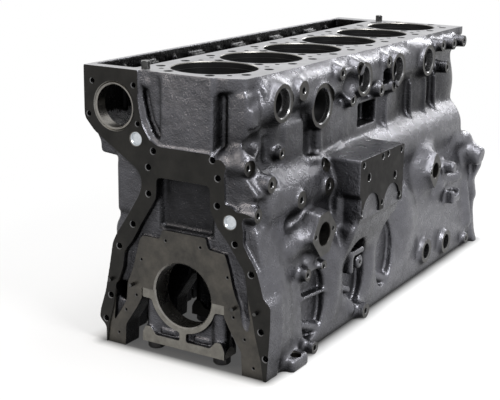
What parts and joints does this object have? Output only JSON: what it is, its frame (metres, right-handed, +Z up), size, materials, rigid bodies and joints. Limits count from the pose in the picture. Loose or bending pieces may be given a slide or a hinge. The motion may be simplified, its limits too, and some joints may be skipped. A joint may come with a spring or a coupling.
{
  "type": "engine block",
  "caption": "Bare cast-iron cylinder block of an in-line diesel engine, with main bearing caps, camshaft bushes, dowels and core plugs fitted.",
  "frame": {"origin": "on the crankshaft's axis, at the middle of the middle main bearing", "axes": "+X along the crankshaft to the rear of the engine, +Y to the camshaft side, +Z up to the deck"},
  "size_m": [1.0159, 0.42, 0.538],
  "materials": {
    "cast_iron_block": "dark grey as-cast iron with machined faces",
    "cast_iron_cap": "as-cast iron with machined joint and ends",
    "bolt_steel": "blackened steel",
    "bush_metal": "bored bush metal, bright",
    "plug_steel": "bright zinc-plated steel",
    "dowel_steel": "ground steel"
  },
  "bodies": {
    "root": {"camshaft_bush_1": "bush_metal", "camshaft_bush_2": "bush_metal", "camshaft_bush_3": "bush_metal", "camshaft_bush_4": "bush_metal", "camshaft_bush_5": "bush_metal", "camshaft_bush_6": "bush_metal", "camshaft_bush_7": "bush_metal", "cylinder_block": "cast_iron_block", "front_dowel_pins": "dowel_steel", "front_plug_side": "plug_steel", "front_plug_upper": "plug_steel", "head_dowel_front": "dowel_steel", "head_dowel_rear": "dowel_steel", "main_bearing_cap_1": "cast_iron_cap", "main_bearing_cap_2": "cast_iron_cap", "main_bearing_cap_3": "cast_iron_cap", "main_bearing_cap_4": "cast_iron_cap", "main_bearing_cap_5": "cast_iron_cap", "main_bearing_cap_6": "cast_iron_cap", "main_bearing_cap_7": "cast_iron_cap", "main_cap_bolts": "bolt_steel", "main_cap_washers": "bolt_steel"}
  },
  "joints": []
}
